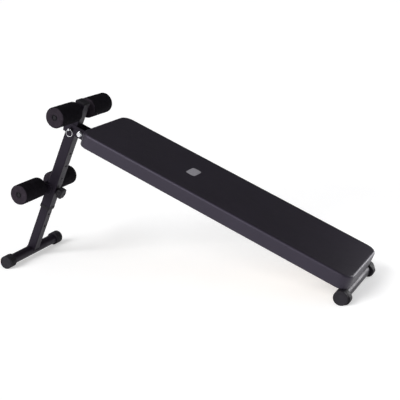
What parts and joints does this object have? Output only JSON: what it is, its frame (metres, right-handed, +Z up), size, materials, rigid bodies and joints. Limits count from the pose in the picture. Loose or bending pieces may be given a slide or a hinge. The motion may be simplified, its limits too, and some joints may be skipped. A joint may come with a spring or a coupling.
{
  "type": "adjustable sit-up bench",
  "caption": "Sloping padded board on a folding steel frame with foam leg rollers, a telescoping front leg and round rubber-capped feet.",
  "frame": {"origin": "on the floor, below the middle of the overall length and width", "axes": "+Z up; +X along the length, from the tall front leg to the low rear foot; +Y to the left of someone who stands at the tall front leg and looks down the bench toward its low end"},
  "size_m": [1.3646, 0.344, 0.6235],
  "materials": {
    "frame_steel": "satin",
    "zinc_steel": "polished",
    "pad_vinyl": "satin",
    "pad_core_foam": "matte",
    "plywood": "matte",
    "roller_foam": "matte",
    "foot_rubber": "matte",
    "black_plastic": "matte"
  },
  "bodies": {
    "bench": {"main_beam": "frame_steel", "pivot_bracket": "frame_steel", "pivot_bolt": "zinc_steel", "pivot_nut": "zinc_steel", "pivot_washers": "zinc_steel", "lock_pin_barrel": "frame_steel", "lock_pin_spring": "zinc_steel", "rear_foot_tube": "frame_steel", "rear_foot_cap_left": "foot_rubber", "rear_foot_cap_right": "foot_rubber", "pad_cross_plates": "frame_steel", "pad_screws": "zinc_steel", "pad_tee_nuts": "zinc_steel", "pad_board": "plywood", "pad_foam": "pad_core_foam", "pad_cover": "pad_vinyl"},
    "leg_upper": {"leg_outer_tube": "frame_steel", "leg_top_cap": "black_plastic", "leg_sleeve": "black_plastic", "pivot_lug": "frame_steel", "pivot_sleeve": "frame_steel", "upper_axle": "frame_steel", "upper_axle_plugs": "black_plastic", "lower_axle": "frame_steel", "lower_axle_plugs": "black_plastic", "lower_axle_bracket": "frame_steel", "knob_boss": "frame_steel"},
    "leg_lower": {"leg_inner_tube": "frame_steel", "inner_tube_guide": "black_plastic", "front_foot_tube": "frame_steel", "front_foot_cap_left": "foot_rubber", "front_foot_cap_right": "foot_rubber"},
    "knob_screw": {"knob_barrel": "zinc_steel", "knob_spring": "zinc_steel"},
    "knob": {"knob_pin": "zinc_steel", "knob_head": "black_plastic"},
    "lock_pin": {"lock_pin": "zinc_steel"},
    "pull_ring": {"lock_pin_ring": "zinc_steel"},
    "upper_left_roller": {"roller_upper_left": "roller_foam"},
    "upper_right_roller": {"roller_upper_right": "roller_foam"},
    "lower_left_roller": {"roller_lower_left": "roller_foam"},
    "lower_right_roller": {"roller_lower_right": "roller_foam"}
  },
  "joints": [
    {"name": "leg_fold", "type": "hinge", "parent": "bench", "child": "leg_upper", "pos_m": [-0.36931, 0, 0.49777], "axis": [0, -1, 0], "range_deg": [0, 80]},
    {"name": "height_adjust", "type": "slide", "parent": "leg_upper", "child": "leg_lower", "axis": [0.454, 0, 0.891], "range_m": [0, 0.165]},
    {"name": "knob_turn", "type": "hinge", "parent": "leg_upper", "child": "knob_screw", "pos_m": [-0.51013, 0, 0.26986], "axis": [0.891, 0, -0.454], "continuous": true},
    {"name": "knob_pull", "type": "slide", "parent": "knob_screw", "child": "knob", "axis": [0.891, 0, -0.454], "range_m": [0, 0.009], "stiffness_N_per_m": 900, "springref_m": -0.006, "deforming": ["knob_spring"]},
    {"name": "lock_pin_pull", "type": "slide", "parent": "bench", "child": "lock_pin", "axis": [0, -1, 0], "range_m": [0, 0.0045], "stiffness_N_per_m": 900, "springref_m": -0.006, "deforming": ["lock_pin_spring"]},
    {"name": "ring_swing", "type": "hinge", "parent": "lock_pin", "child": "pull_ring", "pos_m": [-0.40742, -0.0355, 0.51543], "axis": [1, 0, 0], "range_deg": [-90, 12]},
    {"name": "upper_left_roller_spin", "type": "hinge", "parent": "leg_upper", "child": "upper_left_roller", "pos_m": [-0.37313, 0, 0.58277], "axis": [0, 1, 0], "continuous": true},
    {"name": "upper_right_roller_spin", "type": "hinge", "parent": "leg_upper", "child": "upper_right_roller", "pos_m": [-0.37313, 0, 0.58277], "axis": [0, 1, 0], "continuous": true},
    {"name": "lower_left_roller_spin", "type": "hinge", "parent": "leg_upper", "child": "lower_left_roller", "pos_m": [-0.56585, 0, 0.29264], "axis": [0, 1, 0], "continuous": true},
    {"name": "lower_right_roller_spin", "type": "hinge", "parent": "leg_upper", "child": "lower_right_roller", "pos_m": [-0.56585, 0, 0.29264], "axis": [0, 1, 0], "continuous": true}
  ]
}
